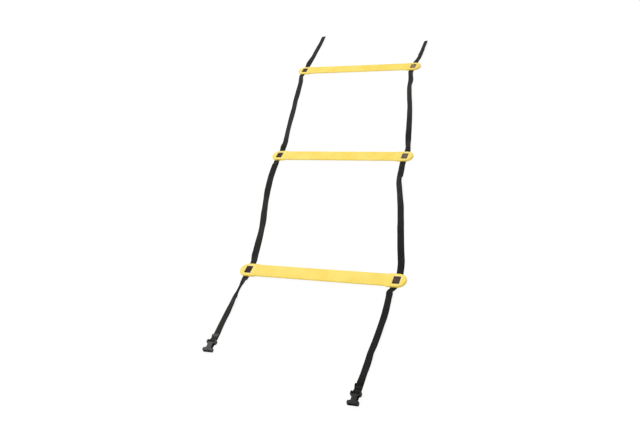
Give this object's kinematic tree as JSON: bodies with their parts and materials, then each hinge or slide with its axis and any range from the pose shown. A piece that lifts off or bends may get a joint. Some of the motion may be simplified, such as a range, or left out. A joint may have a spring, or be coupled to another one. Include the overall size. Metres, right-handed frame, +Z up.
{
  "type": "agility ladder",
  "caption": "Flat training ladder: yellow slats threaded onto two lengths of black webbing with a buckle half at one end.",
  "frame": {"origin": "middle of the bounding box, on the ground", "axes": "+X along the slats, +Y along the ladder away from its buckles, +Z up"},
  "size_m": [0.6634, 1.6374, 0.0113],
  "materials": {
    "rung yellow": "satin moulded plastic",
    "webbing charcoal": "woven webbing",
    "buckle black": "moulded plastic",
    "thread black": "sewing thread"
  },
  "bodies": {
    "middle_run": {"strap_left_front_bay_far": "webbing charcoal", "strap_right_front_bay_far": "webbing charcoal", "strap_left_back_bay_near": "webbing charcoal", "strap_right_back_bay_near": "webbing charcoal"},
    "middle_rung": {"rung_mid": "rung yellow", "strap_left_weave_mid": "webbing charcoal", "strap_right_weave_mid": "webbing charcoal"},
    "near_run": {"strap_left_front_bay_near": "webbing charcoal", "strap_right_front_bay_near": "webbing charcoal", "strap_left_near_lead": "webbing charcoal", "strap_right_near_lead": "webbing charcoal"},
    "near_rung": {"rung_near": "rung yellow", "strap_left_weave_near": "webbing charcoal", "strap_right_weave_near": "webbing charcoal"},
    "far_run": {"strap_left_back_bay_far": "webbing charcoal", "strap_right_back_bay_far": "webbing charcoal", "strap_left_far_lead": "webbing charcoal", "strap_right_far_lead": "webbing charcoal"},
    "far_rung": {"rung_far": "rung yellow", "strap_left_weave_far": "webbing charcoal", "strap_right_weave_far": "webbing charcoal"},
    "near_tail_left": {"strap_left_near_tail": "webbing charcoal", "stitching_left": "thread black"},
    "buckle_left": {"buckle_left": "buckle black"},
    "far_tail_left": {"strap_left_far_tail": "webbing charcoal"},
    "near_tail_right": {"strap_right_near_tail": "webbing charcoal", "stitching_right": "thread black"},
    "buckle_right": {"buckle_right": "buckle black"},
    "far_tail_right": {"strap_right_far_tail": "webbing charcoal"}
  },
  "joints": [
    {"name": "near_fold", "type": "hinge", "parent": "middle_run", "child": "near_run", "pos_m": [0.10171, -0.19921, 0.0073], "axis": [-1, 0, 0], "range_deg": [0, 180]},
    {"name": "far_fold", "type": "hinge", "parent": "middle_run", "child": "far_run", "pos_m": [0.10171, 0.30729, 0.01115], "axis": [1, 0, 0], "range_deg": [0, 180]},
    {"name": "near_rung_slide", "type": "slide", "parent": "near_run", "child": "near_rung", "axis": [-0.1969, 0.9804, 0], "range_m": [-0.05, 0.05], "deforming": ["strap_left_front_bay_near", "strap_right_front_bay_near", "strap_left_near_lead", "strap_right_near_lead"]},
    {"name": "middle_rung_slide", "type": "slide", "parent": "middle_run", "child": "middle_rung", "axis": [-0.1969, 0.9804, 0], "range_m": [-0.05, 0.05], "deforming": ["strap_left_front_bay_far", "strap_right_front_bay_far", "strap_left_back_bay_near", "strap_right_back_bay_near"]},
    {"name": "far_rung_slide", "type": "slide", "parent": "far_run", "child": "far_rung", "axis": [-0.1969, 0.9804, 0], "range_m": [-0.05, 0.05], "deforming": ["strap_left_back_bay_far", "strap_right_back_bay_far", "strap_left_far_lead", "strap_right_far_lead"]},
    {"name": "near_tail_left_fold", "type": "hinge", "parent": "near_run", "child": "near_tail_left", "pos_m": [-0.1031, -0.57971, 0.0098], "axis": [1, 0, 0], "range_deg": [-175, 0]},
    {"name": "buckle_left_pivot", "type": "hinge", "parent": "near_tail_left", "child": "buckle_left", "pos_m": [-0.09806, -0.69571, 0.0045], "axis": [-0.9998, -0.0175, 0], "range_deg": [-85, 100]},
    {"name": "far_tail_left_fold", "type": "hinge", "parent": "far_run", "child": "far_tail_left", "pos_m": [-0.30651, 0.69329, 0.0098], "axis": [-1, 0, 0], "range_deg": [-175, 0]},
    {"name": "near_tail_right_fold", "type": "hinge", "parent": "near_run", "child": "near_tail_right", "pos_m": [0.30651, -0.57971, 0.0098], "axis": [1, 0, 0], "range_deg": [-175, 0]},
    {"name": "buckle_right_pivot", "type": "hinge", "parent": "near_tail_right", "child": "buckle_right", "pos_m": [0.30399, -0.78771, 0.0045], "axis": [-1, -0.0087, 0], "range_deg": [-85, 100]},
    {"name": "far_tail_right_fold", "type": "hinge", "parent": "far_run", "child": "far_tail_right", "pos_m": [0.10309, 0.69329, 0.0098], "axis": [-1, 0, 0], "range_deg": [-175, 0]}
  ]
}
